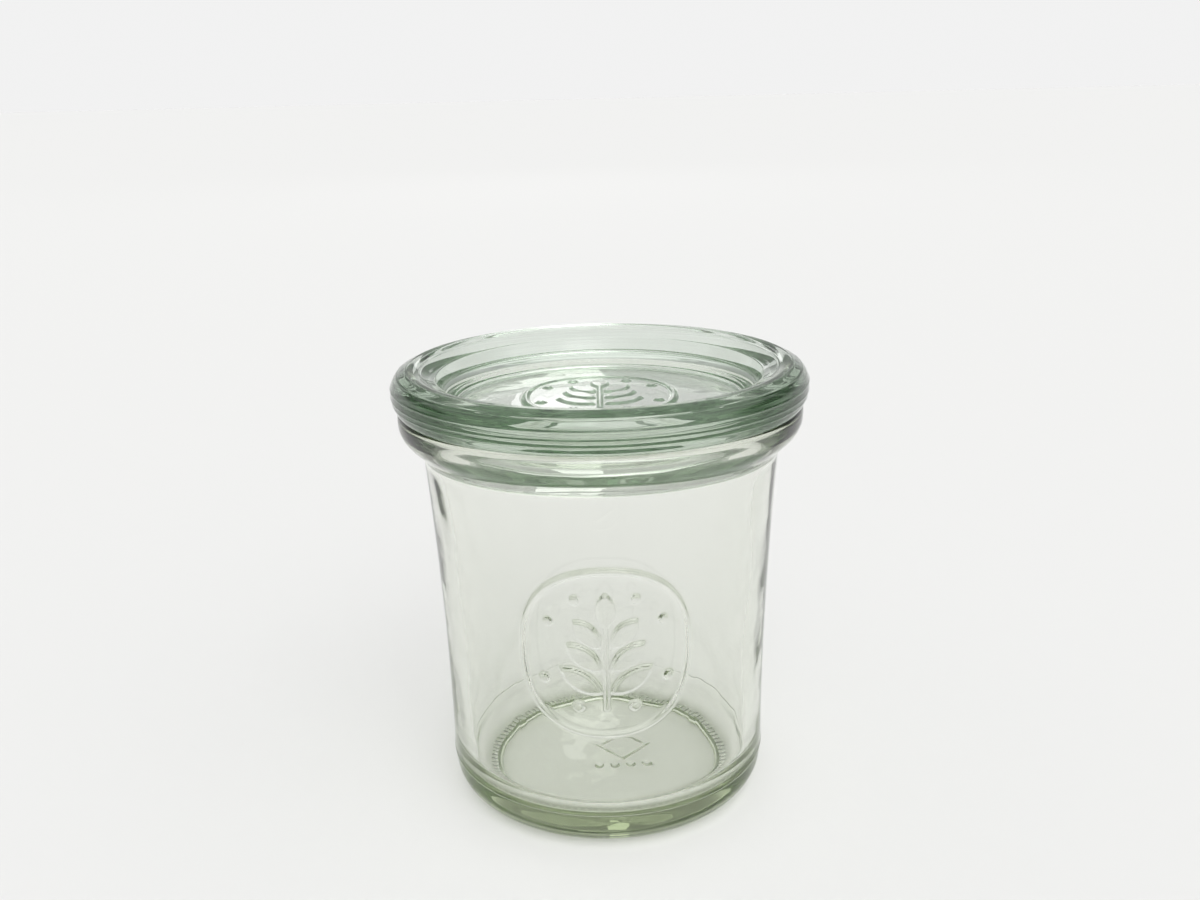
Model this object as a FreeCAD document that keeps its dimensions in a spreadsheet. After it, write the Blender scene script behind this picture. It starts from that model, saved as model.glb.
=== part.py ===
"""Straight-sided glass canning jar with its loose glass lid.

The jar stands on the bearing ring round its base, with the origin in the middle of that
ring's plane, +Z up, in millimetres. Jar and lid are both solids of revolution about Z, as
the two glass moulds make them:

* the jar has a push-up under the base, a round heel, a side that flares to the neck, and a
  heavy flange with a cone underneath and a flat sealing rim on top;
* the lid lies loose on that rim, with a plug ring that centres it in the mouth and a stepped
  dish on top, in which the base of the next jar stands.
"""
import FreeCAD, Part

import os
from math import pi

import Sketcher

# Driving sizes in millimetres. Radii build on one another from the base outwards, so that
# rim and lid follow the body. Heights of the jar are above the bearing ring, and heights of
# the lid are above the sealing rim.
SIZES = {
    # jar, outside
    "jar_height": 68.5,
    "base_radius": 27.35,
    "waist_flare": 0.6,
    "waist_height": 35.5,
    "neck_flare": 2.25,
    "mould_line": 7.0,
    "heel_draft": 0.55,
    "heel_round": 5.5,
    # jar, flange and rim
    "flange_reach": 3.8,
    "flange_band": 3.4,
    "flange_cone": 3.8,
    "flange_round": 3.7,
    "neck_round": 2.5,
    "rim_round": 1.0,
    "mouth_round": 0.8,
    # jar, inside
    "neck_wall": 2.45,
    "waist_wall": 2.95,
    "base_wall": 3.2,
    "floor_height": 4.6,
    "floor_round": 5.0,
    # jar, push-up under the base
    "bearing_width": 0.7,
    "push_up": 1.0,
    "push_up_slope": 1.2,
    "push_up_round": 0.5,
    # lid, outside
    "lid_height": 6.5,
    "lid_overhang": 0.85,
    "lid_belly_height": 3.1,
    "lid_belly_arc": 5.6,
    "lid_undercut": 0.95,
    "lid_shoulder_round": 3.2,
    "lid_foot_round": 0.5,
    # lid, ridge and stepped dish for the base of the next jar
    "ridge_inset": 3.95,
    "ridge_round": 2.4,
    "dish_clearance": 2.1,
    "dish_floor_height": 0.5,
    "dish_floor_round": 1.6,
    "dish_step_width": 2.5,
    "dish_step_height": 2.4,
    "dish_step_round": 1.5,
    "dish_edge_width": 3.45,
    "dish_edge_height": 4.7,
    "dish_edge_round": 0.7,
    # lid, panel and the plug ring under it
    "panel": 3.0,
    "plug_clearance": 0.55,
    "plug_depth": 1.3,
    "plug_width": 2.5,
    "plug_slope": 0.5,
    "plug_round": 0.8,
    "plug_inner_round": 0.5,
    "plug_foot_round": 0.6,
    "plug_root_round": 0.4,
}

# Radii and heights that follow from the driving sizes, as formulas of the same sheet. Each
# may use the ones above it.
PLACES = {
    "neck_height": "=jar_height - flange_band - flange_cone",
    "flange_low": "=jar_height - flange_band",
    "over_rim": "=jar_height + neck_wall",
    "waist_radius": "=base_radius + waist_flare",
    "neck_radius": "=base_radius + neck_flare",
    "flange_radius": "=neck_radius + flange_reach",
    "inner_base_radius": "=base_radius - base_wall",
    "inner_waist_radius": "=waist_radius - waist_wall",
    "mouth_radius": "=neck_radius - neck_wall",
    "foot_radius": "=base_radius - heel_draft",
    "heel_radius": "=foot_radius - heel_round",
    "bearing_radius": "=heel_radius - bearing_width",
    "push_up_radius": "=bearing_radius - push_up_slope",
    "lid_top": "=jar_height + lid_height",
    "lid_belly": "=jar_height + lid_belly_height",
    "lid_radius": "=flange_radius + lid_overhang",
    "lid_seat_radius": "=lid_radius - lid_undercut",
    "ridge_radius": "=lid_radius - ridge_inset",
    "dish_floor": "=jar_height + dish_floor_height",
    "dish_step": "=jar_height + dish_step_height",
    "dish_edge": "=jar_height + dish_edge_height",
    "dish_floor_radius": "=heel_radius + dish_clearance",
    "dish_step_radius": "=dish_floor_radius + dish_step_width",
    "dish_edge_radius": "=dish_floor_radius + dish_edge_width",
    "plug_radius": "=mouth_radius - plug_clearance",
    "plug_inner_radius": "=plug_radius - plug_width",
    "plug_foot_radius": "=plug_inner_radius - plug_slope",
    "panel_face": "=dish_floor - panel",
    "plug_face": "=panel_face - plug_depth",
}

TOUCH = 1e-4


def make_sheet(doc):
    """Put the driving sizes and the places that follow from them into one spreadsheet."""
    sheet = doc.addObject("Spreadsheet::Sheet", "Sizes")
    cells = {name: str(size) for name, size in SIZES.items()} | PLACES
    for row, (name, text) in enumerate(cells.items(), start=1):
        sheet.set(f"A{row}", name)
        sheet.set(f"B{row}", text)
        sheet.setAlias(f"B{row}", name)
    doc.recompute()
    return sheet


class Outline:
    """A closed outline in a body's XZ plane, with every corner bound to the sheet."""

    def __init__(self, body, name, sheet):
        self.sheet = sheet
        self.sketch = body.newObject("Sketcher::SketchObject", name)
        plane = next(f for f in body.Origin.OriginFeatures if f.Role == "XZ_Plane")
        self.sketch.AttachmentSupport = [(plane, "")]
        self.sketch.MapMode = "FlatFace"

    def draw(self, corners, through=None, arcs=None):
        """Join the corners in turn and return the constrained sketch.

        Args:
            corners: (radius, height) of each corner, as aliases or "axis" and "ground",
                which stand for zero.
            through: side number to the (radius, height) that this side's arc passes.
            arcs: side number to the alias of this side's radius, for a side that bulges
                to the right of its travel.
        """
        through = through or {}
        arcs = arcs or {}
        points = [self._point(*corner) for corner in corners]
        for side, start in enumerate(points):
            end = points[(side + 1) % len(points)]
            if side in through:
                curve = Part.Arc(start, self._point(*through[side]), end)
            elif side in arcs:
                curve = self._bulge(start, end, self._size(arcs[side]))
            else:
                curve = Part.LineSegment(start, end)
            self.sketch.addGeometry(curve, False)
        # An arc that runs clockwise is stored the other way round, so its ends swap.
        ends = [self._ends(side, start) for side, start in enumerate(points)]
        for side, (_, last) in enumerate(ends):
            following = (side + 1) % len(ends)
            self._add("Coincident", side, last, following, ends[following][0])
        for side, (radius, height) in enumerate(corners):
            self._hold(side, ends[side][0], radius, height)
        for side, (radius, height) in through.items():
            mark = self.sketch.addGeometry(Part.Point(self._point(radius, height)), True)
            self._hold(mark, 1, radius, height)
            self._add("PointOnObject", mark, 1, side)
        for side, radius in arcs.items():
            self._bind(self._add("Radius", side, self._size(radius)), radius)
        return self.sketch

    def _size(self, name):
        return 0.0 if name in ("axis", "ground") else float(getattr(self.sheet, name))

    def _point(self, radius, height):
        return FreeCAD.Vector(self._size(radius), self._size(height), 0)

    @staticmethod
    def _bulge(start, end, radius):
        chord = end - start
        left = FreeCAD.Vector(0, 0, 1).cross(chord).normalize()
        reach = (radius**2 - chord.Length**2 / 4) ** 0.5
        centre = (start + end) * 0.5 + left * reach
        return Part.Arc(start, centre - left * radius, end)

    def _ends(self, side, start):
        stored = self.sketch.getPoint(side, 1)
        return (1, 2) if stored.distanceToPoint(start) < TOUCH else (2, 1)

    def _hold(self, side, end, radius, height):
        """Hold a point at its radius and height, or on the axis or the ground."""
        if radius == "axis":
            self._add("PointOnObject", side, end, -2)
        else:
            distance = self._add("DistanceX", -1, 1, side, end, self._size(radius))
            self._bind(distance, radius)
        if height == "ground":
            self._add("PointOnObject", side, end, -1)
        else:
            distance = self._add("DistanceY", -1, 1, side, end, self._size(height))
            self._bind(distance, height)

    def _add(self, *parts):
        return self.sketch.addConstraint(Sketcher.Constraint(*parts))

    def _bind(self, constraint, name):
        label = f"{name}_{constraint}"
        self.sketch.renameConstraint(constraint, label)
        self.sketch.setExpression(f"Constraints.{label}", f"Sizes.{name}")


def spin(body, kind, name, sketch):
    """Turn a sketch all the way round the body's Z axis, adding to it or cutting it."""
    feature = body.newObject(f"PartDesign::{kind}", name)
    feature.Profile = sketch
    feature.ReferenceAxis = (sketch, ["V_Axis"])
    feature.Angle = 360
    body.Document.recompute()
    return feature


def round_ring(body, sheet, name, size, radius, height):
    """Round the circular edge that lies at a given radius and height of the body."""
    base = body.Tip
    wanted = float(getattr(sheet, radius))
    level = 0.0 if height == "ground" else float(getattr(sheet, height))
    rings = []
    for number, edge in enumerate(base.Shape.Edges, start=1):
        circle = edge.Curve
        if not isinstance(circle, Part.Circle):
            continue
        if abs(circle.Radius - wanted) < TOUCH and abs(circle.Center.z - level) < TOUCH:
            rings.append(f"Edge{number}")
    if not rings:
        raise RuntimeError(f"{name}: no ring of radius {wanted} at height {level}")
    fillet = body.newObject("PartDesign::Fillet", name)
    fillet.Base = (base, rings)
    fillet.setExpression("Radius", f"Sizes.{size}")
    body.Document.recompute()
    return fillet


def make_jar(doc, sheet):
    """The jar: an outside spun in one, hollowed from the mouth, with a push-up below."""
    body = doc.addObject("PartDesign::Body", "Jar")
    body.Label = "jar"
    outside = Outline(body, "JarOutside", sheet).draw(
        [
            ("axis", "ground"),
            ("foot_radius", "ground"),
            ("base_radius", "mould_line"),
            ("neck_radius", "neck_height"),
            ("flange_radius", "flange_low"),
            ("flange_radius", "jar_height"),
            ("axis", "jar_height"),
        ],
        through={2: ("waist_radius", "waist_height")},
    )
    spin(body, "Revolution", "Outside", outside)
    hollow = Outline(body, "JarHollow", sheet).draw(
        [
            ("axis", "floor_height"),
            ("inner_base_radius", "floor_height"),
            ("mouth_radius", "neck_height"),
            ("mouth_radius", "over_rim"),
            ("axis", "over_rim"),
        ],
        through={1: ("inner_waist_radius", "waist_height")},
    )
    spin(body, "Groove", "Hollow", hollow)
    push_up = Outline(body, "JarPushUp", sheet).draw(
        [
            ("axis", "ground"),
            ("bearing_radius", "ground"),
            ("push_up_radius", "push_up"),
            ("axis", "push_up"),
        ]
    )
    spin(body, "Groove", "PushUp", push_up)
    round_ring(body, sheet, "Heel", "heel_round", "foot_radius", "ground")
    round_ring(body, sheet, "FloorCorner", "floor_round", "inner_base_radius", "floor_height")
    round_ring(body, sheet, "Neck", "neck_round", "neck_radius", "neck_height")
    round_ring(body, sheet, "FlangeEdge", "flange_round", "flange_radius", "flange_low")
    round_ring(body, sheet, "RimOuter", "rim_round", "flange_radius", "jar_height")
    round_ring(body, sheet, "RimInner", "mouth_round", "mouth_radius", "jar_height")
    round_ring(body, sheet, "PushUpEdge", "push_up_round", "push_up_radius", "push_up")
    return body


def make_lid(doc, sheet):
    """The lid: a thick ring with a dish on top, and a plug ring that hangs in the mouth."""
    body = doc.addObject("PartDesign::Body", "Lid")
    body.Label = "lid"
    section = Outline(body, "LidSection", sheet).draw(
        [
            ("axis", "panel_face"),
            ("plug_foot_radius", "panel_face"),
            ("plug_inner_radius", "plug_face"),
            ("plug_radius", "plug_face"),
            ("plug_radius", "jar_height"),
            ("lid_seat_radius", "jar_height"),
            ("lid_radius", "lid_belly"),
            ("lid_radius", "lid_top"),
            ("ridge_radius", "lid_top"),
            ("dish_edge_radius", "dish_edge"),
            ("dish_step_radius", "dish_step"),
            ("dish_floor_radius", "dish_floor"),
            ("axis", "dish_floor"),
        ],
        arcs={5: "lid_belly_arc"},
    )
    spin(body, "Revolution", "Section", section)
    round_ring(body, sheet, "Shoulder", "lid_shoulder_round", "lid_radius", "lid_top")
    round_ring(body, sheet, "Ridge", "ridge_round", "ridge_radius", "lid_top")
    round_ring(body, sheet, "DishEdge", "dish_edge_round", "dish_edge_radius", "dish_edge")
    round_ring(body, sheet, "DishStep", "dish_step_round", "dish_step_radius", "dish_step")
    round_ring(body, sheet, "DishFloor", "dish_floor_round", "dish_floor_radius", "dish_floor")
    round_ring(body, sheet, "LidFoot", "lid_foot_round", "lid_seat_radius", "jar_height")
    round_ring(body, sheet, "PlugEdge", "plug_round", "plug_radius", "plug_face")
    round_ring(body, sheet, "PlugInner", "plug_inner_round", "plug_inner_radius", "plug_face")
    round_ring(body, sheet, "PlugFoot", "plug_foot_round", "plug_foot_radius", "panel_face")
    round_ring(body, sheet, "PlugRoot", "plug_root_round", "plug_radius", "jar_height")
    return body


def check(doc, bodies):
    """Raise an error unless every object is computed and every body is one valid solid."""
    doc.recompute()
    failed = [item.Label for item in doc.Objects if {"Invalid", "Error"} & set(item.State)]
    if failed:
        raise RuntimeError(f"failed objects: {failed}")
    for body in bodies:
        shape = body.Shape
        if shape.isNull() or not shape.isValid() or len(shape.Solids) != 1:
            raise RuntimeError(f"{body.Label} is not one valid solid")


def capacity_ml(jar, sheet):
    """Brim capacity of the jar in millilitres: its filled mouth less its glass."""
    top = float(sheet.over_rim)
    block = Part.makeCylinder(float(sheet.mouth_radius), top)
    room = block.cut(jar.Shape)
    inside = [s for s in room.Solids if s.CenterOfMass.z > float(sheet.push_up)]
    water = max(inside, key=lambda solid: solid.Volume)
    extra = pi * float(sheet.mouth_radius) ** 2 * (top - float(sheet.jar_height))
    return (water.Volume - extra) / 1000


def main():
    """Build the document, check it and write one STEP file for each piece of glass."""
    doc = FreeCAD.newDocument("CanningJar")
    sheet = make_sheet(doc)
    bodies = [make_jar(doc, sheet), make_lid(doc, sheet)]
    check(doc, bodies)
    os.makedirs("parts", exist_ok=True)
    for body in bodies:
        body.Shape.exportStep(f"parts/{body.Label}.step")
        box = body.Shape.optimalBoundingBox()
        extent = f"{box.XLength:.2f} x {box.YLength:.2f} x {box.ZLength:.2f} mm"
        print(f"{body.Label}: {body.Shape.Volume / 1000:.2f} ml of glass, {extent}")
    print(f"brim capacity {capacity_ml(bodies[0], sheet):.1f} ml")


main()
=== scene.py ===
"""A straight-sided glass canning jar with its loose lid, dressed for the studio.

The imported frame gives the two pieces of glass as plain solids. This script puts a finer
mesh in the place of each: the same spun profiles, with the relief that the moulds leave in
the glass, and a glass with its own tint. Lengths are in millimetres until a mesh is made,
and the front of the jar, with its medallion, faces -Y.
"""

import logging
import math
from dataclasses import dataclass

import bpy
import numpy as np
from mathutils import Matrix, Vector


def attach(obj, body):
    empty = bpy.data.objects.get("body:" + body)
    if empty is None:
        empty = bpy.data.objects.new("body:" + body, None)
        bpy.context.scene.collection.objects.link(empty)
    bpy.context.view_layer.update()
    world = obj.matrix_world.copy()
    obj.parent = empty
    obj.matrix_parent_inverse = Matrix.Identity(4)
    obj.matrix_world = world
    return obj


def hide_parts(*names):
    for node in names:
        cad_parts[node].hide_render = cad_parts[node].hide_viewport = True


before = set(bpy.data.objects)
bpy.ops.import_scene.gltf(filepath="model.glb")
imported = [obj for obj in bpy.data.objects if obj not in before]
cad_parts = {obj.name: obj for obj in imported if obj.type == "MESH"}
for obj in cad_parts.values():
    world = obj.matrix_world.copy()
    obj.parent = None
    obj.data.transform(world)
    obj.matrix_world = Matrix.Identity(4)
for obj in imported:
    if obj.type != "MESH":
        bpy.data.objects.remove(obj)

MM = 0.001
FINE_STEP = 0.02
GLASS_BOUNCES = 64
SMOOTH = {"interpolation_type": "SMOOTHSTEP"}
LOG = logging.getLogger("canning_jar")


# ---- helpers


def linear(hex_colour: str) -> tuple[float, float, float, float]:
    """Turn an sRGB hex colour into linear red, green, blue and alpha.

    Args:
        hex_colour: Six digits after a hash, as in "#c8d2c0".

    Returns:
        The linear colour with an alpha of one.
    """
    channels = [int(hex_colour[k : k + 2], 16) / 255 for k in (1, 3, 5)]
    values = [c / 12.92 if c <= 0.04045 else ((c + 0.055) / 1.055) ** 2.4 for c in channels]
    return (*values, 1.0)


def add_node(tree: bpy.types.NodeTree, kind: str, settings: dict | None = None,
             inputs: dict | None = None) -> bpy.types.Node:
    """Add one node with its settings, socket values and links.

    Args:
        tree: The node tree of a material or a world.
        kind: The node's type, as in "ShaderNodeMath".
        settings: Attribute names and their values.
        inputs: Socket names or numbers, each with a plain value or the output socket that
            feeds it.

    Returns:
        The new node.
    """
    node = tree.nodes.new(kind)
    for name, value in (settings or {}).items():
        setattr(node, name, value)
    for name, value in (inputs or {}).items():
        socket = node.inputs[name]
        if isinstance(value, bpy.types.NodeSocket):
            tree.links.new(value, socket)
        else:
            socket.default_value = value
    return node


def ramp(x: np.ndarray, low: float, high: float) -> np.ndarray:
    """Rise smoothly from 0 at low to 1 at high, as 3t^2 - 2t^3 of the clipped share t."""
    t = np.clip((x - low) / (high - low), 0.0, 1.0)
    return t * t * (3.0 - 2.0 * t)


# ---- profiles


@dataclass(frozen=True)
class Corner:
    """A corner of a profile: its radius, its height and the radius that rounds it."""

    radius: float
    height: float
    rounding: float = 0.0


def rounded_profile(corners: list[Corner], arc_steps: int = 12) -> np.ndarray:
    """Join corners with straight runs and round each one with a tangent arc.

    An arc of radius R in a corner that turns by the angle a starts R tan(a/2) before it and
    ends as far behind it, and its points lie R away from a centre on the corner's bisector.

    Args:
        corners: The corners in order, from one end of the open profile to the other.
        arc_steps: Number of equal steps in each arc.

    Returns:
        An array of (radius, height) points.
    """
    points = np.array([(c.radius, c.height) for c in corners])
    pieces = [points[:1]]
    for k in range(1, len(points) - 1):
        before = points[k - 1] - points[k]
        after = points[k + 1] - points[k]
        before = before / np.linalg.norm(before)
        after = after / np.linalg.norm(after)
        half = math.acos(np.clip(before @ after, -1.0, 1.0)) / 2
        if corners[k].rounding <= 0 or half > math.pi / 2 - 1e-4:
            pieces.append(points[k : k + 1])
            continue
        reach = corners[k].rounding / math.tan(half)
        bisector = (before + after) / np.linalg.norm(before + after)
        centre = points[k] + bisector * corners[k].rounding / math.sin(half)
        first = points[k] + before * reach - centre
        last = points[k] + after * reach - centre
        turn = math.atan2(first[0] * last[1] - first[1] * last[0], first @ last)
        angle = math.atan2(first[1], first[0]) + np.linspace(0, turn, arc_steps + 1)
        arc = np.stack([np.cos(angle), np.sin(angle)], axis=1) * corners[k].rounding
        pieces.append(arc + centre)
    pieces.append(points[-1:])
    return np.concatenate(pieces)


def resample(profile: np.ndarray, spacing: "Spacing") -> np.ndarray:
    """Spread points along a profile so that each step has the length wanted there.

    The wanted length is turned into a density, one over the length, whose running sum is
    cut into equal parts; the new points lie at the cuts.

    Args:
        profile: (radius, height) points.
        spacing: Gives the wanted step for arrays of radius and height.

    Returns:
        The new (radius, height) points, with both ends kept.
    """
    steps = np.linalg.norm(np.diff(profile, axis=0), axis=1)
    along = np.concatenate([[0.0], np.cumsum(steps)])
    fine = np.linspace(0, along[-1], int(along[-1] / FINE_STEP))
    radius = np.interp(fine, along, profile[:, 0])
    height = np.interp(fine, along, profile[:, 1])
    density = 1.0 / spacing(radius, height)
    count = np.concatenate([[0.0], np.cumsum((density[1:] + density[:-1]) / 2 * np.diff(fine))])
    wanted = np.linspace(0, count[-1], int(round(count[-1])) + 1)
    cuts = np.interp(wanted, count, fine)
    return np.stack([np.interp(cuts, fine, radius), np.interp(cuts, fine, height)], axis=1)


def outward_normals(profile: np.ndarray) -> np.ndarray:
    """Turn the direction along a profile a quarter turn to the right.

    Args:
        profile: (radius, height) points that run from the base up the outside.

    Returns:
        The unit normal at each point, away from the glass.
    """
    along = np.gradient(profile, axis=0)
    normals = np.stack([along[:, 1], -along[:, 0]], axis=1)
    return normals / np.linalg.norm(normals, axis=1, keepdims=True)


@dataclass(frozen=True)
class Band:
    """Rings of points round the axis that share the angles of their columns.

    The point of ring i in column j stands at radius[i, j] times (sin angle, -cos angle)
    and at height[i, j], so that angle 0 faces -Y.
    """

    radius: np.ndarray
    height: np.ndarray
    angle: np.ndarray

    def points(self, rows: slice) -> np.ndarray:
        """Places of the points of some rows.

        Args:
            rows: Which rings are wanted.

        Returns:
            Places in metres, as rings by columns by three.
        """
        radius = self.radius[rows]
        x, y = radius * np.sin(self.angle), -radius * np.cos(self.angle)
        return np.stack([x, y, self.height[rows]], axis=2) * MM


def stitch(low: np.ndarray, low_angle: np.ndarray, high: np.ndarray, high_angle: np.ndarray) -> np.ndarray:
    """Join two rings whose columns differ in number.

    Going round, each edge of either ring makes a triangle with the point of the other
    ring that was passed last. Both rings start at the same angle.

    Args:
        low: Vertex numbers of the ring that comes first.
        low_angle: Their rising angles.
        high: Vertex numbers of the ring that follows.
        high_angle: Their rising angles.

    Returns:
        One row of three vertex numbers for each triangle.
    """
    low_next = np.append(low_angle[1:], low_angle[0] + 2 * math.pi)
    high_next = np.append(high_angle[1:], high_angle[0] + 2 * math.pi)
    passed_high = np.searchsorted(high_next, low_next, side="left") % len(high)
    passed_low = np.searchsorted(low_next, high_next, side="right") % len(low)
    below = np.stack([low, np.roll(low, -1), high[passed_high]], axis=1)
    above = np.stack([low[passed_low], np.roll(high, -1), high], axis=1)
    return np.concatenate([below, above])


def spun_mesh(name: str, bands: list[Band]) -> bpy.types.Object:
    """Make a closed mesh from bands of rings, with one pole at each end.

    Within a band four neighbouring points make a face, and where two bands meet they are
    stitched. The very first and the very last ring shrink to a pole.

    Args:
        name: Name of the new object.
        bands: The bands in order, whose angles all start at the same value.

    Returns:
        The object, with outward normals and smooth shading.
    """
    points, grids, count = [], [], 0
    for number, band in enumerate(bands):
        rows = slice(1 if number == 0 else 0, -1 if number == len(bands) - 1 else None)
        placed = band.points(rows)
        grids.append(count + np.arange(placed.shape[0] * placed.shape[1]).reshape(placed.shape[:2]))
        points.append(placed.reshape(-1, 3))
        count += grids[-1].size
    ends = [(0.0, 0.0, float(bands[0].height[0, 0]) * MM), (0.0, 0.0, float(bands[-1].height[-1, 0]) * MM)]
    vertices = np.concatenate([*points, ends])
    turned = [np.roll(grid, -1, axis=1) for grid in grids]
    quads = np.concatenate([
        np.stack([grid[:-1], beside[:-1], beside[1:], grid[1:]], axis=2).reshape(-1, 4)
        for grid, beside in zip(grids, turned)
    ])
    first, last = grids[0][0], grids[-1][-1]
    triangles = np.concatenate([
        np.stack([np.roll(first, -1), first, np.full(len(first), count)], axis=1),
        np.stack([last, np.roll(last, -1), np.full(len(last), count + 1)], axis=1),
        *(stitch(grids[k][-1], bands[k].angle, grids[k + 1][0], bands[k + 1].angle)
          for k in range(len(bands) - 1)),
    ])
    loops = np.concatenate([quads.ravel(), triangles.ravel()])
    sizes = np.concatenate([np.full(len(quads), 4), np.full(len(triangles), 3)])
    mesh = bpy.data.meshes.new(name)
    mesh.vertices.add(len(vertices))
    mesh.vertices.foreach_set("co", vertices.ravel())
    mesh.loops.add(len(loops))
    mesh.loops.foreach_set("vertex_index", loops.astype(np.int32))
    mesh.polygons.add(len(sizes))
    mesh.polygons.foreach_set("loop_start", (np.cumsum(sizes) - sizes).astype(np.int32))
    mesh.polygons.foreach_set("use_smooth", np.ones(len(sizes), dtype=bool))
    mesh.update(calc_edges=True)
    mesh.validate()
    piece = bpy.data.objects.new(name, mesh)
    bpy.context.scene.collection.objects.link(piece)
    return piece


@dataclass(frozen=True)
class Spacing:
    """Length of a mesh step: fine inside a band of heights on one side of a profile."""

    coarse: float
    bands: tuple[tuple[float, float, float, float, float], ...] = ()

    def __call__(self, radius: np.ndarray, height: np.ndarray) -> np.ndarray:
        """Step for each point.

        Args:
            radius: Radii of the points.
            height: Heights of the points.

        Returns:
            The coarse step, or a band's step where radius and height lie in the band.
        """
        step = np.full_like(radius, self.coarse)
        for r_low, r_high, z_low, z_high, fine in self.bands:
            inside = (radius >= r_low) & (radius <= r_high) & (height >= z_low) & (height <= z_high)
            step[inside] = np.minimum(step[inside], fine)
        return step


# ---- relief


@dataclass(frozen=True)
class MouldRing:
    """A fine ridge, or with a negative rise a groove, that runs round a piece.

    Where the two halves of a mould meet, and where its tool turned, pressed glass keeps
    such a line. Its section is a bell curve: rise times exp(-(distance / width) squared).
    """

    radius: float
    height: float
    rise: float
    width: float

    def over(self, section: np.ndarray) -> np.ndarray:
        """Height of the ridge at each point of a (radius, height) profile."""
        distance = np.hypot(section[:, 0] - self.radius, section[:, 1] - self.height)
        return self.rise * np.exp(-((distance / self.width) ** 2))


@dataclass(frozen=True)
class Ripple:
    """Slow waves in a wall where the hot gob chilled unevenly against the tool.

    The sum of four cosines of the angle and the height, each with whole turns round.
    """

    size: float

    def over(self, height: np.ndarray, angle: np.ndarray) -> np.ndarray:
        """Depth of the waves.

        Args:
            height: A column with the height of each ring.
            angle: A row with the angle of each column.

        Returns:
            The depth at each point, at most the size of the waves.
        """
        waves = (
            np.cos(3 * angle + height / 7.3 + 0.4)
            + 0.8 * np.cos(5 * angle - height / 4.9 + 2.1)
            + 0.6 * np.cos(8 * angle + height / 3.7 + 4.0)
            + 0.5 * np.cos(2 * angle - height / 2.9 + 1.2)
        )
        return self.size * waves / 2.9


def capsule(u: np.ndarray, v: np.ndarray, start: tuple[float, float], end: tuple[float, float],
            half_width: float) -> np.ndarray:
    """Depth inside a capsule: its half width less the distance to its spine.

    The nearest point of the spine lies at the share clip((p - a).(b - a) / |b - a|^2, 0, 1).

    Args:
        u: First coordinate of each place p.
        v: Second coordinate of each place.
        start: One end a of the spine.
        end: Its other end b.
        half_width: Half the width of the capsule.

    Returns:
        The depth at each place, negative outside.
    """
    run_u, run_v = end[0] - start[0], end[1] - start[1]
    share = ((u - start[0]) * run_u + (v - start[1]) * run_v) / (run_u**2 + run_v**2)
    share = np.clip(share, 0.0, 1.0)
    return half_width - np.hypot(u - start[0] - share * run_u, v - start[1] - share * run_v)


@dataclass(frozen=True)
class KnurledFoot:
    """The bearing ring's knurl and the plain marks under the base.

    The knurl is a ring of short radial grooves that keeps hot glass off the belt. Where a
    factory would put its mould number there are a hollow diamond and a row of four dots.
    """

    inner: float = 20.5
    outer: float = 22.7
    grooves: int = 110
    groove_depth: float = 0.2
    mark_rise: float = 0.32
    mark_flank: tuple[float, float] = (-0.15, 0.3)
    half_stroke: float = 0.42
    diamond: float = 4.2
    diamond_right: float = 2.6
    diamond_back: float = 2.2
    dot_radius: float = 0.75
    dots_right: tuple[float, ...] = (-1.6, 1.2, 4.0, 6.8)
    dots_front: float = 4.2

    def relief(self, section: np.ndarray, angle: np.ndarray) -> np.ndarray:
        """Height of the foot's relief.

        Each groove is a cosine wave of the angle, deeper and shallower by a slower wave.
        The diamond is the line where the distances across and along from its middle have
        one sum. A mark rises over a soft flank.

        Args:
            section: (radius, height) of each ring.
            angle: Angle of each column.

        Returns:
            One row for each ring and one column for each angle.
        """
        radius = section[:, :1]
        fade_in = ramp(radius, self.inner - 0.2, self.inner + 0.3)
        ring = fade_in * (1.0 - ramp(radius, self.outer - 0.5, self.outer))
        turn = angle - angle[0]
        uneven = 0.75 + 0.25 * np.cos(7 * turn + 1.0) * np.cos(19 * turn)
        wave = 0.5 - 0.5 * np.cos(self.grooves * turn)
        u, v = radius * np.sin(angle), -radius * np.cos(angle)
        reach = np.abs(u - self.diamond_right) + np.abs(v - self.diamond_back)
        depth = self.half_stroke - np.abs(reach - self.diamond) / math.sqrt(2.0)
        for dot_u in self.dots_right:
            depth = np.maximum(depth, self.dot_radius - np.hypot(u - dot_u, v + self.dots_front))
        marks = self.mark_rise * ramp(depth, *self.mark_flank)
        return marks - self.groove_depth * uneven * wave * ring


@dataclass(frozen=True)
class Leaf:
    """One leaf of the sprig: where it starts, where it points and its size."""

    base_u: float
    base_v: float
    angle: float
    length: float
    width: float


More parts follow.
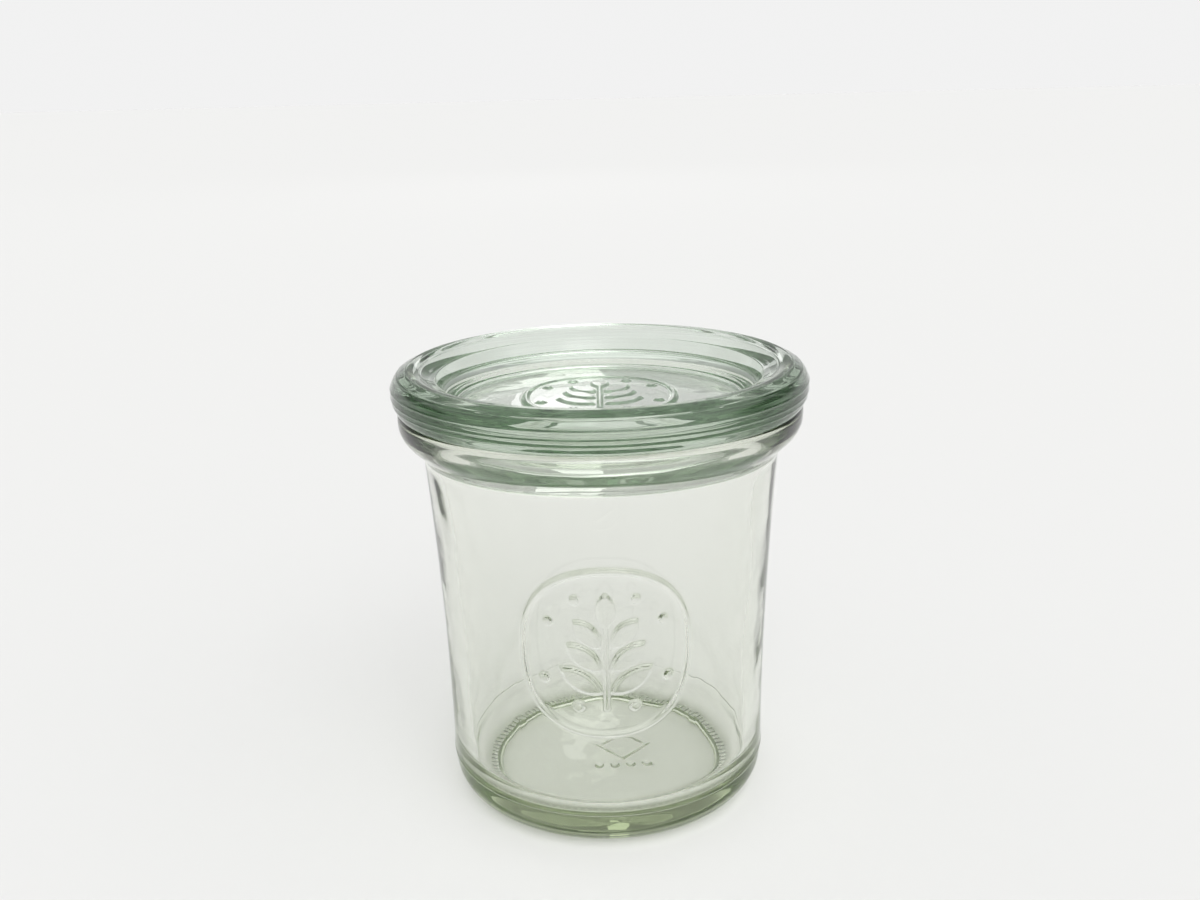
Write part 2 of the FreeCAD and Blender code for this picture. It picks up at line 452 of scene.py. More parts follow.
@dataclass(frozen=True)
class Medallion:
    """A raised upright oval field with a sprig of leaves and loose berries on it.

    Heights are above the glass around it. The field's edge and every stroke rise over a
    soft flank, as pressed glass does.
    """

    half_width: float = 13.9
    half_height: float = 14.6
    squareness: float = 2.3
    field_rise: float = 0.22
    flank: float = 0.5
    border_rise: float = 0.5
    border_inset: float = 0.75
    border_width: float = 0.4
    stroke_rise: float = 0.68
    stroke_flank: tuple[float, float] = (-0.12, 0.3)
    stem_half_width: float = 0.42
    stem_foot: float = -9.2
    stem_tip: float = 4.6
    leaf_width: float = 3.2
    leaf_length: float = 7.6
    leaf_shrink: float = 0.7
    leaf_tilt: float = 34.0
    leaf_tilt_gain: float = 7.0
    leaf_bases: tuple[float, ...] = (-6.6, -2.7, 1.2)
    leaf_off_stem: float = 0.75
    tip_leaf_length: float = 6.0
    berry_radius: float = 0.8
    berry_places: tuple[tuple[float, float], ...] = ((4.3, -9.0), (9.6, -4.4), (8.8, 5.4), (4.6, 9.2))

    def rise(self, u: np.ndarray, v: np.ndarray) -> np.ndarray:
        """Height of the relief.

        The field is a superellipse: with q = (|u/a|^n + |v/b|^n)^(1/n), the distance inside
        its edge is about (1 - q) times the half width, and a fine border runs just inside
        it. A leaf is the overlap of two circles through its ends, a berry is a disc, one of
        a pair left and right, and the stem is a slender capsule. What lies inside one of
        these strokes stands higher by the same rise.

        Args:
            u: Distance to the right of the middle.
            v: Distance above the middle.

        Returns:
            The height at each place, zero outside the field.
        """
        power = self.squareness
        q = (np.abs(u / self.half_width) ** power + np.abs(v / self.half_height) ** power) ** (1 / power)
        inside = (1.0 - q) * self.half_width
        relief = self.field_rise * ramp(inside, 0.0, self.flank)
        relief += self.border_rise * np.exp(-(((inside - self.border_inset) / self.border_width) ** 2))
        depth = capsule(u, v, (0.0, self.stem_foot), (0.0, self.stem_tip), self.stem_half_width)
        for leaf in self._leaves():
            depth = np.maximum(depth, self._leaf(u, v, leaf))
        for berry_u, berry_v in self.berry_places:
            depth = np.maximum(depth, self.berry_radius - np.hypot(np.abs(u) - berry_u, v - berry_v))
        return relief + self.stroke_rise * ramp(depth, *self.stroke_flank)

    def _leaf(self, u: np.ndarray, v: np.ndarray, leaf: Leaf) -> np.ndarray:
        """Depth inside a leaf, the overlap of two equal circles through its ends.

        With the half length h and the half width w of the leaf the circles have the radius
        (h^2 + w^2) / 2w, and their centres lie across the leaf, the radius less w away.

        Args:
            u: Distance to the right of the medallion's middle.
            v: Distance above it.
            leaf: The leaf.

        Returns:
            The depth at each place, negative outside.
        """
        c, s = math.cos(leaf.angle), math.sin(leaf.angle)
        along = (u - leaf.base_u) * c + (v - leaf.base_v) * s - leaf.length / 2
        across = -(u - leaf.base_u) * s + (v - leaf.base_v) * c
        half_length, half_width = leaf.length / 2, leaf.width / 2
        radius = (half_length**2 + half_width**2) / (2 * half_width)
        return radius - np.hypot(along, np.abs(across) + radius - half_width)

    def _leaves(self) -> list[Leaf]:
        """Lay the leaves along the stem.

        Returns:
            The leaf at the tip, then pairs that shorten and rise from the foot upwards.
        """
        leaves = [Leaf(0.0, self.stem_tip - 0.2, math.pi / 2, self.tip_leaf_length, self.leaf_width)]
        for step, base_v in enumerate(self.leaf_bases):
            length = self.leaf_length - self.leaf_shrink * step
            tilt = math.radians(self.leaf_tilt + self.leaf_tilt_gain * step)
            leaves.append(Leaf(self.leaf_off_stem, base_v, tilt, length, self.leaf_width))
            leaves.append(Leaf(-self.leaf_off_stem, base_v, math.pi - tilt, length, self.leaf_width))
        return leaves


# ---- glass


@dataclass(frozen=True)
class PressedSkin:
    """The skin that a mould leaves on glass: slow chill waves, a fine grain and scuffs.

    The waves bend straight reflections a little, the grain makes highlights sparkle, and
    years on shelves have scuffed the last tenths of a millimetre above the table.
    """

    wave_size: float = 5.5
    wave_depth: float = 0.035
    grain_size: float = 0.9
    grain_depth: float = 0.0005
    scuff_size: float = 0.8
    scuff_height: float = 0.25
    scuff: float = 0.6

    def normal(self, tree: bpy.types.NodeTree, place: bpy.types.NodeSocket) -> bpy.types.NodeSocket:
        """Normal of the skin, from two noises as wide and as deep as the real waves.

        Args:
            tree: The material's node tree.
            place: Place on the piece in metres.

        Returns:
            The output with the normal.
        """
        waves = add_node(tree, "ShaderNodeTexNoise", inputs={
            "Vector": place, "Scale": 1.0 / (self.wave_size * MM), "Detail": 1.0, "Roughness": 0.4,
        })
        grain = add_node(tree, "ShaderNodeTexNoise", inputs={
            "Vector": place, "Scale": 1.0 / (self.grain_size * MM), "Detail": 2.0, "Roughness": 0.4,
        })
        coarse = add_node(tree, "ShaderNodeBump", inputs={
            "Height": waves.outputs["Fac"], "Distance": self.wave_depth * MM,
        })
        fine = add_node(tree, "ShaderNodeBump", inputs={
            "Height": grain.outputs["Fac"], "Distance": self.grain_depth * MM,
            "Normal": coarse.outputs["Normal"],
        })
        return fine.outputs["Normal"]

    def roughness(self, tree: bpy.types.NodeTree, place: bpy.types.NodeSocket) -> bpy.types.NodeSocket:
        """Roughness: none on the fire-polished glass, patchy scuffs where it stands.

        Args:
            tree: The material's node tree.
            place: Place on the piece in metres.

        Returns:
            The output with the roughness.
        """
        split = add_node(tree, "ShaderNodeSeparateXYZ", inputs={"Vector": place})
        worn = add_node(tree, "ShaderNodeMapRange", settings=SMOOTH, inputs={
            "Value": split.outputs["Z"], "From Min": self.scuff_height * MM, "From Max": 0.0,
            "To Max": self.scuff,
        })
        patches = add_node(tree, "ShaderNodeTexNoise", inputs={
            "Vector": place, "Scale": 1.0 / (self.scuff_size * MM), "Detail": 3.0,
        })
        both = add_node(tree, "ShaderNodeMath", settings={"operation": "MULTIPLY"}, inputs={
            0: worn.outputs["Result"], 1: patches.outputs["Fac"],
        })
        return both.outputs["Value"]


@dataclass(frozen=True)
class SodaLimeGlass:
    """Soda-lime glass from the mould: clear in a thin wall, tinted where light goes far.

    The tint comes from the volume, so that walls stay nearly clear while the flange, the
    heel and the lid's thick ring go green. The surface is fire polished over the mould's
    faint waves, and scuffed only where the jar stands.
    """

    name: str
    tint: str
    density: float
    ior: float = 1.52
    skin: PressedSkin = PressedSkin()

    def material(self) -> bpy.types.Material:
        """Build the material.

        Returns:
            A node material with a glass surface and an absorbing volume.
        """
        made = bpy.data.materials.new(self.name)
        made.use_nodes = True
        tree = made.node_tree
        tree.nodes.clear()
        place = add_node(tree, "ShaderNodeTexCoord").outputs["Object"]
        surface = add_node(tree, "ShaderNodeBsdfPrincipled", inputs={
            "Base Color": (1.0, 1.0, 1.0, 1.0),
            "Roughness": self.skin.roughness(tree, place),
            "IOR": self.ior,
            "Transmission Weight": 1.0,
            "Normal": self.skin.normal(tree, place),
        })
        volume = add_node(tree, "ShaderNodeVolumeAbsorption", inputs={
            "Color": linear(self.tint),
            "Density": self.density,
        })
        add_node(tree, "ShaderNodeOutputMaterial", inputs={
            "Surface": surface.outputs["BSDF"],
            "Volume": volume.outputs["Volume"],
        })
        return made


# ---- the pieces


@dataclass
class GlassJar:
    """The jar: push-up, bearing ring, heel, flared side, coned flange and flat rim."""

    height: float = 68.5
    base_radius: float = 27.35
    waist_flare: float = 0.6
    waist_height: float = 35.5
    neck_flare: float = 2.25
    mould_line: float = 7.0
    heel_draft: float = 0.55
    heel_round: float = 5.5
    flange_reach: float = 3.8
    flange_band: float = 3.4
    flange_cone: float = 3.8
    flange_round: float = 3.7
    neck_round: float = 2.5
    rim_round: float = 1.0
    mouth_round: float = 0.8
    neck_wall: float = 2.45
    waist_wall: float = 2.95
    base_wall: float = 3.2
    floor_height: float = 4.6
    floor_round: float = 5.0
    bearing_width: float = 0.7
    push_up: float = 1.0
    push_up_slope: float = 1.2
    push_up_round: float = 0.5
    foot_top: float = 4.2
    foot: KnurledFoot = KnurledFoot()
    emblem_height: float = 35.6
    emblem_half_angle: float = 30.5
    emblem: Medallion = Medallion()
    inner_ripple: Ripple = Ripple(0.07)
    neck_fold: float = 0.04
    fold_count: int = 22
    floor_swell: float = 0.05
    mould_line_rise: float = 0.1
    mould_line_width: float = 0.17
    seam_rise: float = 0.05
    seam_width: float = 0.5
    front_columns: int = 160
    back_columns: int = 92
    glass: SodaLimeGlass = SodaLimeGlass("jar_clear_soda_lime", "#ecefe6", 135.0)

    def build(self) -> bpy.types.Object:
        """Make the jar's mesh, dress it and put it in the place of the CAD node.

        Returns:
            The jar's object.
        """
        outside = resample(self._outside(), Spacing(1.1, (
            (0.0, 9.0, 0.0, 1.5, 0.28),  # the marks under the base
            (20.0, 23.0, 0.0, 1.5, 0.28),  # the knurl
            (23.0, 27.3, 0.0, 6.0, 0.6),  # the heel
            (26.0, 28.0, 6.2, 7.8, 0.15),  # the mould line
            (26.0, 30.0, 20.0, 51.3, 0.2),  # the medallion
            (29.0, 34.0, 59.0, 69.0, 0.5),  # neck, flange and rim
        )))
        normals = outward_normals(outside)
        cut = int(np.argmax(outside[:, 1] > self.foot_top))
        inside = resample(self._inside(), Spacing(1.6, ((15.0, 27.0, 4.0, 10.0, 0.6),)))[1:]
        start = -math.radians(self.emblem_half_angle)
        foot_angle = start + np.linspace(0.0, 2 * math.pi, 4 * self.foot.grooves, endpoint=False)
        wall_angle = self._columns()
        foot_relief = self.foot.relief(outside[:cut], foot_angle)
        wall_relief = self._wall_relief(outside[cut:], wall_angle)
        foot = self._raised(outside[:cut], normals[:cut], foot_relief, foot_angle)
        wall = self._raised(outside[cut:], normals[cut:], wall_relief, wall_angle)
        hollow = self._hollow(inside, wall_angle)
        above = Band(np.vstack([wall.radius, hollow.radius]), np.vstack([wall.height, hollow.height]),
                     wall_angle)
        piece = spun_mesh("jar_glass_body", [foot, above])
        piece.data.materials.append(self.glass.material())
        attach(piece, "root")
        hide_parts("jar")
        return piece

    def _side(self, low: Corner, waist: Corner, high: Corner, heights: np.ndarray) -> list[Corner]:
        """Points of a flared side: the parabola of radius over height through three points.

        Args:
            low: Lowest point of the side.
            waist: Point where the side bends.
            high: Highest point of the side.
            heights: Where the points are wanted.

        Returns:
            One corner without rounding for each height.
        """
        first = (waist.radius - low.radius) / (waist.height - low.height)
        last = (high.radius - waist.radius) / (high.height - waist.height)
        bend = (last - first) / (high.height - low.height)
        rise = heights - low.height
        radii = low.radius + first * rise + bend * rise * (heights - waist.height)
        return [Corner(float(r), float(z)) for r, z in zip(radii, heights)]

    def _outside(self) -> np.ndarray:
        """Draw the outside of the jar.

        Returns:
            The profile from the middle of the push-up round the heel and over the flange to
            just below the rim's inner edge.
        """
        neck = self.height - self.flange_band - self.flange_cone
        foot = self.base_radius - self.heel_draft
        bearing = foot - self.heel_round - self.bearing_width
        neck_radius = self.base_radius + self.neck_flare
        flange = neck_radius + self.flange_reach
        return rounded_profile([
            Corner(0.0, self.push_up),
            Corner(bearing - self.push_up_slope, self.push_up, self.push_up_round),
            Corner(bearing, 0.0, 0.15),
            Corner(foot, 0.0, self.heel_round),
            *self._side(Corner(self.base_radius, self.mould_line),
                        Corner(self.base_radius + self.waist_flare, self.waist_height),
                        Corner(neck_radius, neck), np.linspace(self.mould_line, neck - 2.5, 14)),
            Corner(neck_radius, neck, self.neck_round),
            Corner(flange, self.height - self.flange_band, self.flange_round),
            Corner(flange, self.height, self.rim_round),
            Corner(neck_radius - self.neck_wall, self.height, self.mouth_round),
            Corner(neck_radius - self.neck_wall, self.height - 2.0),
        ])

    def _inside(self) -> np.ndarray:
        """Draw the hollow of the jar.

        Returns:
            The profile from just below the rim's inner edge down the wall to the middle of
            the floor.
        """
        neck = self.height - self.flange_band - self.flange_cone
        mouth = self.base_radius + self.neck_flare - self.neck_wall
        waist = self.base_radius + self.waist_flare - self.waist_wall
        foot = Corner(self.base_radius - self.base_wall, self.floor_height)
        return rounded_profile([
            Corner(mouth, self.height - 2.0),
            *self._side(foot, Corner(waist, self.waist_height), Corner(mouth, neck),
                        np.linspace(neck, self.floor_height + 7.0, 12)),
            Corner(foot.radius, foot.height, self.floor_round),
            Corner(0.0, self.floor_height),
        ])

    def _columns(self) -> np.ndarray:
        """Spread the wall's columns, close together across the medallion.

        Returns:
            The rising angle of each column, all round from the medallion's left edge.
        """
        spread = math.radians(self.emblem_half_angle)
        front = np.linspace(-spread, spread, self.front_columns, endpoint=False)
        back = np.linspace(spread, 2 * math.pi - spread, self.back_columns, endpoint=False)
        return np.concatenate([front, back])

    def _raised(self, section: np.ndarray, normals: np.ndarray, relief: np.ndarray,
                angle: np.ndarray) -> Band:
        """Spin a profile, each point moved by the relief along the profile's normal."""
        moved = section[:, None, :] + relief[:, :, None] * normals[:, None, :]
        return Band(moved[:, :, 0], moved[:, :, 1], angle)

    def _hollow(self, section: np.ndarray, angle: np.ndarray) -> Band:
        """Spin the inside: slow waves in its wall, folds under the neck, a swell in its floor.

        Args:
            section: (radius, height) of each ring.
            angle: Angle of each column.

        Returns:
            The band of the hollow, from the rim down to the middle of the floor.
        """
        radius, height = section[:, :1], section[:, 1:]
        on_wall = ramp(height, 8.0, 14.0) * (1.0 - ramp(height, 52.0, 58.0))
        u, v = radius * np.sin(angle), -radius * np.cos(angle)
        on_floor = (height < self.floor_height + 0.01) * (1.0 - ramp(radius, 15.0, 18.5))
        swell = np.cos(u / 2.1 + v / 5.1 + 0.7) * np.cos(v / 2.9 - 0.5) + 0.7 * np.cos(u / 4.3 - v / 3.4)
        at_neck = ramp(height, 44.0, 54.0) * (1.0 - ramp(height, 58.0, 61.0))
        sway = 2.0 * np.cos(3 * angle) + height / 9.0
        folds = self.neck_fold * np.cos(self.fold_count * angle + sway) * at_neck
        return Band(radius + self.inner_ripple.over(height, angle) * on_wall + folds,
                    height + self.floor_swell * swell * on_floor, angle)

    def _wall_relief(self, section: np.ndarray, angle: np.ndarray) -> np.ndarray:
        """Height of the relief over the outside wall: medallion, mould line and seams.

        Args:
            section: (radius, height) of each ring.
            angle: Angle of each column.

        Returns:
            The relief, one row for each ring and one column for each angle.
        """
        turn = (angle + math.pi) % (2 * math.pi) - math.pi
        radius, height = section[:, :1], section[:, 1:]
        on_front = np.abs(turn) < math.radians(60)
        emblem = self.emblem.rise(turn * radius, height - self.emblem_height) * on_front
        line = MouldRing(self.base_radius, self.mould_line, self.mould_line_rise, self.mould_line_width)
        off_seam = np.abs(np.abs(turn) - math.pi / 2) * radius
        seam = self.seam_rise * np.exp(-((off_seam / self.seam_width) ** 2)) * ramp(height, 4.0, 7.0)
        return emblem + line.over(section)[:, None] + seam


@dataclass
class GlassLid:
    """The loose lid: plug ring, seat, belly, round shoulder, ridge and a stepped dish."""

    seat: float = 68.5
    lift: float = 0.04
    height: float = 6.5
    radius: float = 34.25
    belly_height: float = 3.1
    belly_arc: float = 5.6
    undercut: float = 0.95
    shoulder_round: float = 3.2
    foot_round: float = 0.5
    ridge_inset: float = 3.95
    ridge_round: float = 2.4
    floor_radius: float = 23.4
    floor_height: float = 0.5
    floor_round: float = 1.6
    step_width: float = 2.5
    step_height: float = 2.4
    step_round: float = 1.5
    edge_width: float = 3.45
    edge_height: float = 4.7
    edge_round: float = 0.7
    panel: float = 3.0
    plug_radius: float = 26.6
    plug_depth: float = 1.3
    plug_width: float = 2.5
    plug_slope: float = 0.5
    plug_round: float = 0.8
    plug_inner_round: float = 0.5
    plug_foot_round: float = 0.6
    plug_root_round: float = 0.4
    emblem: Medallion = Medallion(half_width=13.0, half_height=13.2, field_rise=0.16, flank=0.6,
                                  border_rise=0.2, border_width=0.42, stroke_rise=0.3)
    emblem_reach: float = 22.0
    columns: int = 350
    rings: tuple[MouldRing, ...] = (
        MouldRing(34.22, 71.1, 0.07, 0.13),
        MouldRing(34.2, 72.4, 0.09, 0.15),
        MouldRing(34.06, 70.17, 0.06, 0.13),
        MouldRing(32.0, 68.5, -0.05, 0.25),
        MouldRing(30.4, 68.5, -0.05, 0.25),
        MouldRing(28.9, 68.5, -0.05, 0.25),
        MouldRing(31.61, 74.94, 0.05, 0.2),
        MouldRing(33.17, 74.18, 0.06, 0.15),
        MouldRing(29.3, 74.5, 0.06, 0.15),
        MouldRing(26.9, 73.19, 0.07, 0.15),
        MouldRing(25.96, 71.09, 0.07, 0.15),
        MouldRing(24.2, 69.6, 0.06, 0.15),
    )
    glass: SodaLimeGlass = SodaLimeGlass("lid_pale_green_soda_lime", "#d5e1d4", 100.0)

    def build(self) -> bpy.types.Object:
        """Make the lid's mesh, dress it and put it in the place of the CAD node.

        Returns:
            The lid's object.
        """
        section = resample(self._section(), Spacing(0.9, (
            (0.0, 14.5, 68.0, 71.0, 0.24),  # the medallion
            (22.0, 35.0, 60.0, 80.0, 0.4),  # the whole thick ring
            (25.0, 28.0, 60.0, 69.0, 0.35),  # the plug
            *((ring.radius - 0.4, ring.radius + 0.4, ring.height - 0.4, ring.height + 0.4, 0.1)
              for ring in self.rings),
        )))
        angle = np.linspace(-math.pi, math.pi, self.columns, endpoint=False)
        relief = sum(ring.over(section) for ring in self.rings)[:, None]
        section = section + relief * outward_normals(section)
        radius, height = section[:, :1] * np.ones_like(angle), section[:, 1:]
        on_panel = (height > self.seat) & (section[:, :1] < self.emblem_reach)
        emblem = self.emblem.rise(radius * np.sin(angle), -radius * np.cos(angle)) * on_panel
        piece = spun_mesh("lid_glass_body", [Band(radius, height + emblem + self.lift, angle)])
        piece.data.materials.append(self.glass.material())
        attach(piece, "root")
        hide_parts("lid")
        return piece

    def _section(self) -> np.ndarray:
        """Draw the lid.

        Returns:
            The profile from the middle of the underside over the plug, the seat, the belly,
            the shoulder and the ridge to the middle of the dish.
        """
        belly = self.seat + self.belly_height
        belly_angle = np.linspace(-0.95, -0.05, 7) * math.asin(self.belly_height / self.belly_arc)
        centre = self.radius - self.belly_arc
        belly_radius = centre + self.belly_arc * np.cos(belly_angle[1:])
        belly_rise = belly + self.belly_arc * np.sin(belly_angle[1:])
        belly_points = [Corner(float(r), float(z)) for r, z in zip(belly_radius, belly_rise)]
        floor = self.seat + self.floor_height
        panel_face = floor - self.panel
        plug_face = panel_face - self.plug_depth
        top = self.seat + self.height
        return rounded_profile([
            Corner(0.0, panel_face),
            Corner(self.plug_radius - self.plug_width - self.plug_slope, panel_face, self.plug_foot_round),
            Corner(self.plug_radius - self.plug_width, plug_face, self.plug_inner_round),
            Corner(self.plug_radius, plug_face, self.plug_round),
            Corner(self.plug_radius, self.seat, self.plug_root_round),
            Corner(self.radius - self.undercut, self.seat, self.foot_round),
            *belly_points,
            Corner(self.radius, belly),
            Corner(self.radius, top, self.shoulder_round),
            Corner(self.radius - self.ridge_inset, top, self.ridge_round),
            Corner(self.floor_radius + self.edge_width, self.seat + self.edge_height, self.edge_round),
            Corner(self.floor_radius + self.step_width, self.seat + self.step_height, self.step_round),
            Corner(self.floor_radius, floor, self.floor_round),
            Corner(0.0, floor),
        ])


# ---- the studio


def towards(azimuth: float, elevation: float) -> Vector:
    """Unit vector from the jar to a place in the surround.

    Args:
        azimuth: Degrees round from the camera's side: 0 is -Y and 90 is +X.
        elevation: Degrees above the level.

    Returns:
        The vector (sin a cos e, -cos a cos e, sin e).
    """
    a, e = math.radians(azimuth), math.radians(elevation)
    return Vector((math.sin(a) * math.cos(e), -math.cos(a) * math.cos(e), math.sin(e)))


@dataclass(frozen=True)
class Window:
    """A sharp-edged upright light that looks at the jar, unseen by the camera itself.

    Its place is an azimuth, an elevation and a distance; its size and distance are in
    metres and its power in watts.
    """

    azimuth: float
    elevation: float
    distance: float
    width: float
    height: float
    power: float

    def build(self, name: str, target: Vector) -> bpy.types.Object:
        """Hang the light.

        Args:
            name: Name of the light.
            target: The point that it faces.

        Returns:
            The light's object.
        """
        lamp = bpy.data.lights.new(name, "AREA")
        lamp.shape = "RECTANGLE"
        lamp.size = self.width
        lamp.size_y = self.height
        lamp.energy = self.power
        placed = bpy.data.objects.new(name, lamp)
        away = towards(self.azimuth, self.elevation)
        placed.location = target + away * self.distance
        placed.rotation_euler = away.to_track_quat("Z", "Y").to_euler()
        placed.visible_camera = False
        bpy.context.scene.collection.objects.link(placed)
        return placed


@dataclass(frozen=True)
class Softbox:
    """A round soft patch of light in the surround.

    It is full up to the inner angle from its middle and fades out at the outer one.
    """

    azimuth: float
    elevation: float
    inner: float
    outer: float
    strength: float

    def direction(self) -> Vector:
        """Unit vector from the jar towards the middle of the patch."""
        return towards(self.azimuth, self.elevation)


@dataclass(frozen=True)
class DarkCard:
    """A dark screen that stands round the set and draws the glass's edges.

    It spans a range of azimuths and of elevations, in degrees, with feathered edges.
    """

    azimuth: float
    half_span: float
    bottom: float
    top: float
    depth: float
    feather: float = 6.0

    def shade(self, tree: bpy.types.NodeTree, light: bpy.types.NodeSocket, level: bpy.types.NodeSocket,
              rise: bpy.types.NodeSocket) -> bpy.types.NodeSocket:
        """Dim the light where the card stands.

        Args:
            tree: The world's node tree.
            light: Strength of the light without the card.
            level: Unit vector along the level part of the direction.
            rise: Sine of the direction's elevation.

        Returns:
            The output with the strength that is left.
        """
        span, top, bottom, soft = (
            math.radians(angle) for angle in (self.half_span, self.top, self.bottom, self.feather)
        )
        facing = add_node(tree, "ShaderNodeVectorMath", settings={"operation": "DOT_PRODUCT"}, inputs={
            0: level, 1: towards(self.azimuth, 0.0),
        })
        edges = (
            (facing.outputs["Value"], math.cos(span + soft), math.cos(span - soft)),
            (rise, math.sin(top + soft), math.sin(top - soft)),
            (rise, math.sin(bottom - soft), math.sin(bottom + soft)),
        )
        dark = self.depth
        for value, none, full in edges:
            inside = add_node(tree, "ShaderNodeMapRange", settings=SMOOTH, inputs={
                "Value": value, "From Min": none, "From Max": full,
            })
            dark = add_node(tree, "ShaderNodeMath", settings={"operation": "MULTIPLY"}, inputs={
                0: dark, 1: inside.outputs["Result"],
            }).outputs["Value"]
        left = add_node(tree, "ShaderNodeMath", settings={"operation": "SUBTRACT"}, inputs={
            0: 1.0, 1: dark,
        })
        dimmed = add_node(tree, "ShaderNodeMath", settings={"operation": "MULTIPLY"}, inputs={
            0: light, 1: left.outputs["Value"],
        })
        return dimmed.outputs["Value"]


@dataclass(frozen=True)
class Studio:
    """A pale floor, a soft pale surround, dark cards at both sides and behind, soft patches."""

    floor_colour: str = "#d4d4d3"
    floor_size: float = 16.0
    floor_drop: float = 0.05
    horizon_strength: float = 0.885
    sky_strength: float = 1.15
    softboxes: tuple[Softbox, ...] = (
        Softbox(azimuth=35, elevation=36, inner=5, outer=60, strength=0.9),
        Softbox(azimuth=14, elevation=48, inner=12, outer=24, strength=1.5),
    )
    cards: tuple[DarkCard, ...] = (
        DarkCard(azimuth=107, half_span=32, bottom=10, top=27, depth=0.8),
        DarkCard(azimuth=245, half_span=22, bottom=10, top=24, depth=0.8),
        DarkCard(azimuth=180, half_span=40, bottom=9, top=40, depth=0.5),
    )
    window: Window = Window(azimuth=182.3, elevation=19, distance=1.5, width=0.12, height=0.45, power=0.2)
    window_aim: float = 70.0

    def build(self) -> None:
        """Lay the floor and light the surround."""
        self._floor()
        self._surround()
        self.window.build("back_window", Vector((0.0, 0.0, self.window_aim * MM)))

    def _floor(self) -> None:
        """Lay a pale matt board: it takes the jar's soft shadow and mirrors nothing."""
        half = self.floor_size / 2
        mesh = bpy.data.meshes.new("studio_floor")
        low = -self.floor_drop * MM
        corners = [(-half, -half, low), (half, -half, low), (half, half, low), (-half, half, low)]
        mesh.from_pydata(corners, [], [(0, 1, 2, 3)])
        board = bpy.data.objects.new("studio_floor", mesh)
        bpy.context.scene.collection.objects.link(board)
        made = bpy.data.materials.new("studio_floor_matt")
        made.use_nodes = True
        made.node_tree.nodes.clear()
        surface = add_node(made.node_tree, "ShaderNodeBsdfDiffuse", inputs={
            "Color": linear(self.floor_colour),
        })
        add_node(made.node_tree, "ShaderNodeOutputMaterial", inputs={"Surface": surface.outputs["BSDF"]})
        mesh.materials.append(made)

    def _surround(self) -> None:
        """Make the world: pale all round, lighter above, with the cards and the soft patches.

        Seen directly it is as plain as the floor; cards and patches only light the glass.
        """
        world = bpy.data.worlds.new("soft_surround")
        bpy.context.scene.world = world
        world.use_nodes = True
        tree = world.node_tree
        tree.nodes.clear()
        place = add_node(tree, "ShaderNodeTexCoord")
        split = add_node(tree, "ShaderNodeSeparateXYZ", inputs={"Vector": place.outputs["Generated"]})
        height = add_node(tree, "ShaderNodeMapRange", settings=SMOOTH, inputs={
            "Value": split.outputs["Z"], "From Min": 0.4, "From Max": 0.65,
            "To Min": self.horizon_strength, "To Max": self.sky_strength,
        })
        flat = add_node(tree, "ShaderNodeVectorMath", settings={"operation": "MULTIPLY"}, inputs={
            0: place.outputs["Generated"], 1: (1.0, 1.0, 0.0),
        })
        level = add_node(tree, "ShaderNodeVectorMath", settings={"operation": "NORMALIZE"}, inputs={
            0: flat.outputs["Vector"],
        })
        total = height.outputs["Result"]
        for card in self.cards:
            total = card.shade(tree, total, level.outputs["Vector"], split.outputs["Z"])
        for box in self.softboxes:
            facing = add_node(tree, "ShaderNodeVectorMath", settings={"operation": "DOT_PRODUCT"}, inputs={
                0: place.outputs["Generated"], 1: box.direction(),
            })
            patch = add_node(tree, "ShaderNodeMapRange", settings=SMOOTH, inputs={
                "Value": facing.outputs["Value"],
                "From Min": math.cos(math.radians(box.outer)),
                "From Max": math.cos(math.radians(box.inner)),
                "To Min": 0.0, "To Max": box.strength,
            })
            total = add_node(tree, "ShaderNodeMath", settings={"operation": "ADD"}, inputs={
                0: total, 1: patch.outputs["Result"],
            }).outputs["Value"]
        path = add_node(tree, "ShaderNodeLightPath")
        shown = add_node(tree, "ShaderNodeMix", inputs={
            "Factor": path.outputs["Is Camera Ray"], "A": total, "B": self.horizon_strength,
        })
        light = add_node(tree, "ShaderNodeBackground", inputs={
            "Color": (1.0, 1.0, 1.0, 1.0), "Strength": shown.outputs["Result"],
        })
        add_node(tree, "ShaderNodeOutputWorld", inputs={"Surface": light.outputs["Background"]})


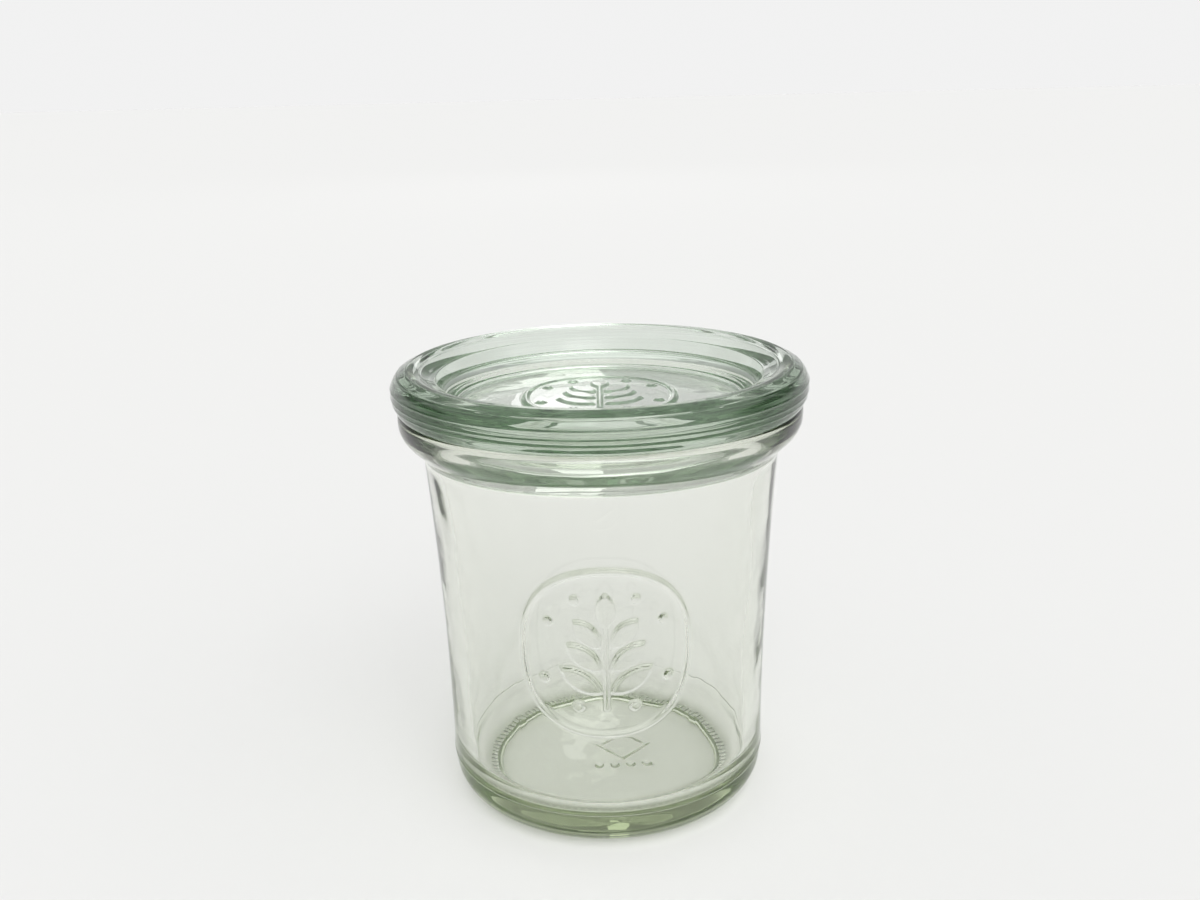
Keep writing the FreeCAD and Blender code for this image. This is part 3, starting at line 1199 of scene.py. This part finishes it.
@dataclass(frozen=True)
class ViewCamera:
    """The camera: a little above the jar, close to it, with a slight roll."""

    distance: float = 213.36
    above: float = 0.391
    aim_height: float = 38.0
    yaw: float = -0.001
    pitch: float = 0.097
    roll: float = -0.024
    lens: float = 36.74

    def build(self) -> bpy.types.Object:
        """Place the camera and make it the scene's.

        Returns:
            The camera's object.
        """
        data = bpy.data.cameras.new("view_camera")
        data.lens = self.lens
        data.sensor_width = 36.0
        data.clip_start = 0.005
        camera = bpy.data.objects.new("view_camera", data)
        tilt = self.pitch - self.above
        forward = math.cos(tilt)
        ahead = Vector((math.sin(self.yaw) * forward, math.cos(self.yaw) * forward, math.sin(tilt)))
        right = ahead.cross(Vector((0, 0, 1))).normalized()
        up = right.cross(ahead)
        rolled_right = math.cos(self.roll) * right + math.sin(self.roll) * up
        rolled_up = -math.sin(self.roll) * right + math.cos(self.roll) * up
        away = self.distance * math.cos(self.above)
        place = Vector((0.0, -away, self.aim_height + self.distance * math.sin(self.above)))
        turn = Matrix((rolled_right, rolled_up, -ahead)).transposed()
        camera.matrix_world = Matrix.Translation(place * MM) @ turn.to_4x4()
        bpy.context.scene.collection.objects.link(camera)
        bpy.context.scene.camera = camera
        return camera


def tune_light_paths() -> None:
    """Let light travel far inside thick glass and keep its bright patterns on the floor."""
    scene = bpy.context.scene
    scene.cycles.max_bounces = GLASS_BOUNCES
    scene.cycles.transmission_bounces = GLASS_BOUNCES
    scene.cycles.glossy_bounces = GLASS_BOUNCES
    scene.cycles.diffuse_bounces = 6
    scene.cycles.blur_glossy = 0.0
    scene.view_settings.view_transform = "Standard"


def main() -> None:
    """Build the studio, the camera and the two pieces of glass, and note the sizes."""
    logging.basicConfig(level=logging.INFO, format="%(name)s: %(message)s")
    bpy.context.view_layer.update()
    tune_light_paths()
    Studio().build()
    ViewCamera().build()
    for maker in (GlassJar(), GlassLid()):
        piece = maker.build()
        LOG.info("%s: %d faces", piece.name, len(piece.data.polygons))


if __name__ == "__main__":
    main()
